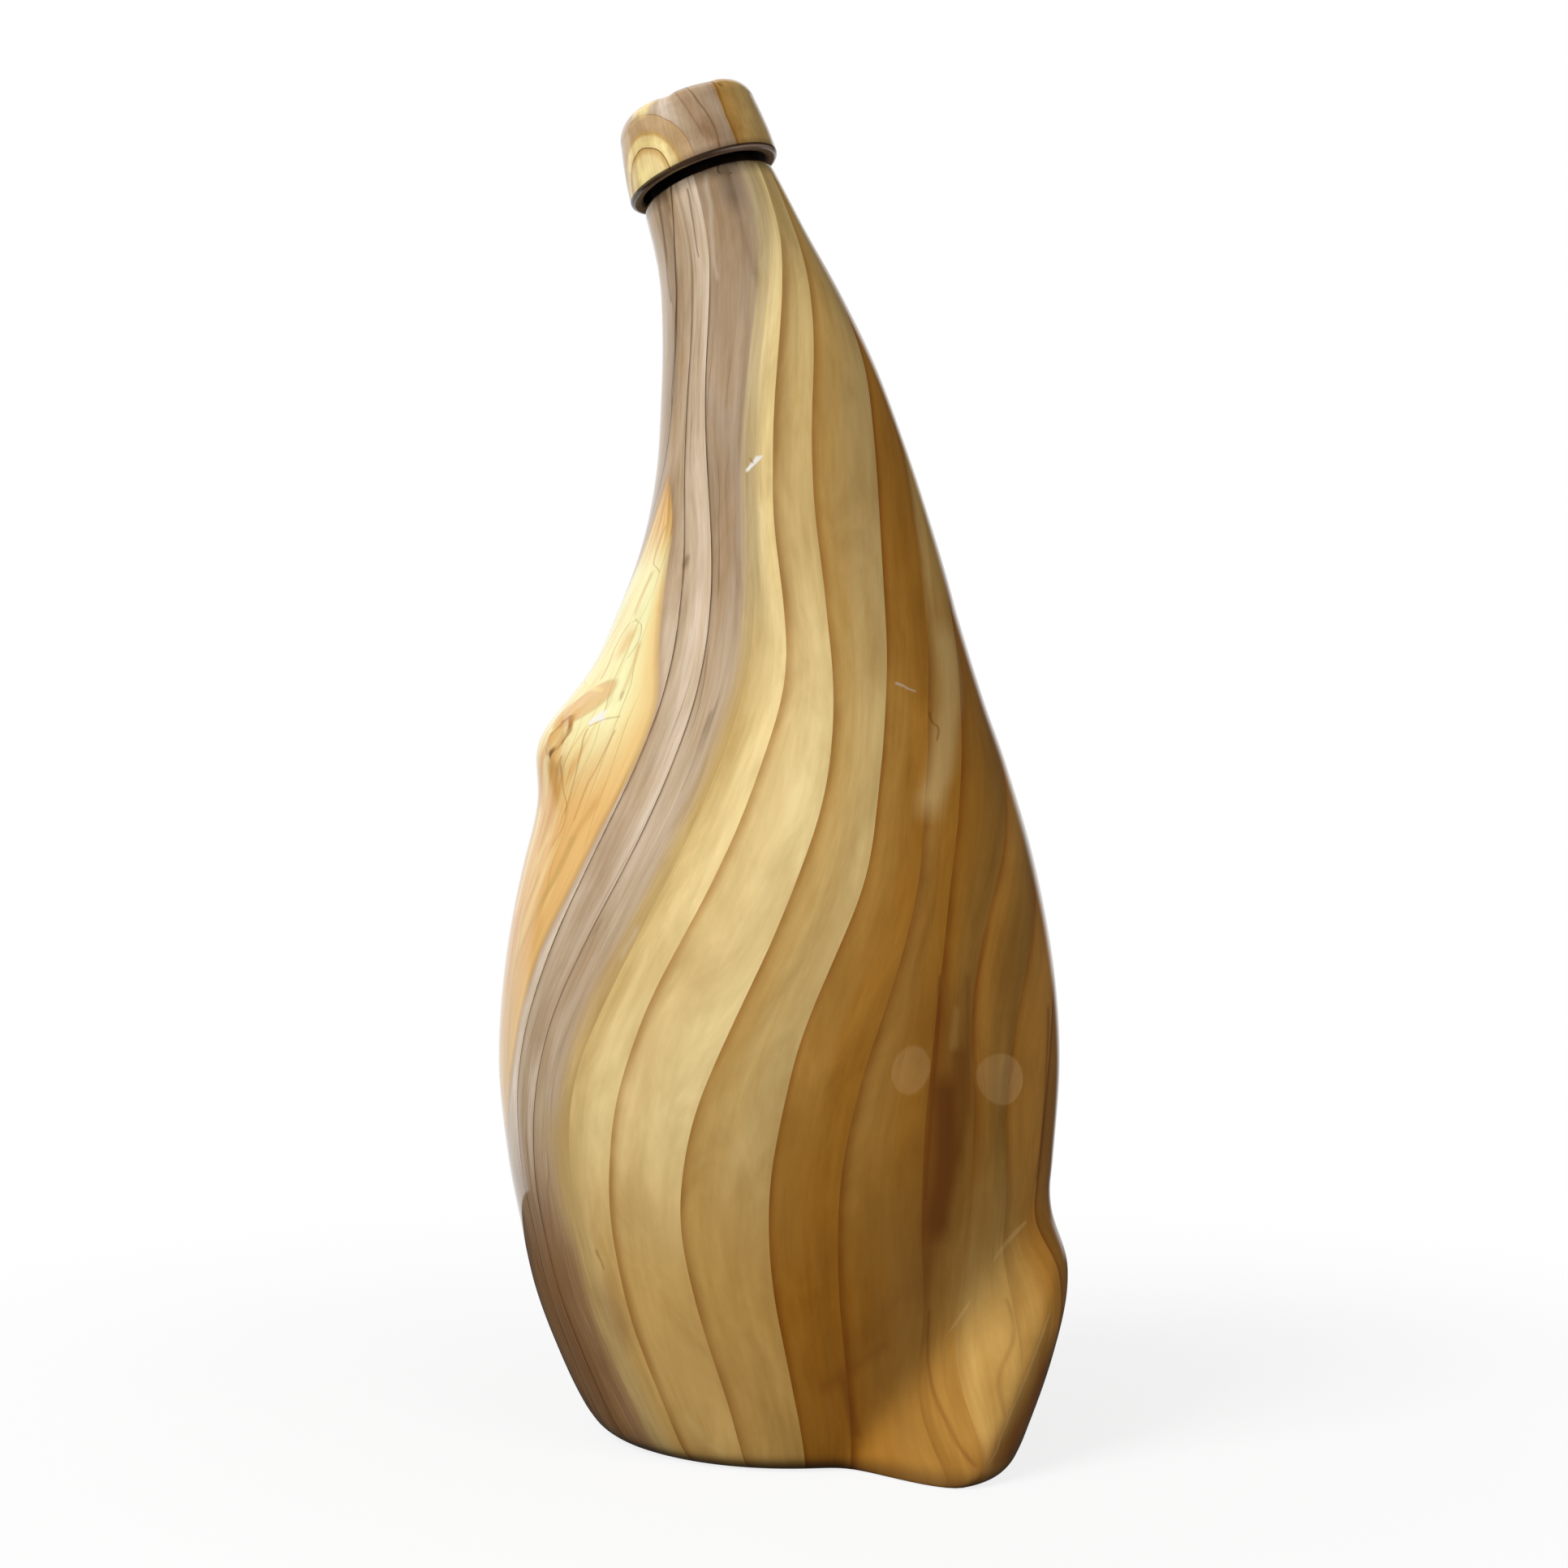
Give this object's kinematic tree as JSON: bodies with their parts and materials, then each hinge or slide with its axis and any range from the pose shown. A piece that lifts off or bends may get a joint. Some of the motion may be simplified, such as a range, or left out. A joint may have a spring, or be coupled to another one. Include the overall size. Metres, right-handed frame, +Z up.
{
  "type": "stoppered ceramic bottle",
  "caption": "Free-form glazed ceramic bottle like a leaning tree trunk, with a ceramic cap on a cork that pulls out of the neck.",
  "frame": {"origin": "under the middle of the bottle's bounding box, on the plane the foot stands on", "axes": "+Z up, +X to the right of someone who looks at the front, +Y from the front to the back; the neck leans to -X"},
  "size_m": [0.1303, 0.1144, 0.3099],
  "materials": {
    "wood_grain_glaze": "glossy clear glaze over hand-painted wood grain",
    "cap_glaze": "glossy clear glaze over hand-painted wood grain",
    "natural_cork": "matt natural cork"
  },
  "bodies": {
    "bottle": {"bottle_body": "wood_grain_glaze"},
    "stopper": {"stopper_cap": "cap_glaze", "cork": "natural_cork"}
  },
  "joints": [
    {"name": "stopper_pull", "type": "slide", "parent": "bottle", "child": "stopper", "axis": [-0.3426, 0.0728, 0.9367], "range_m": [0, 0.04]}
  ]
}
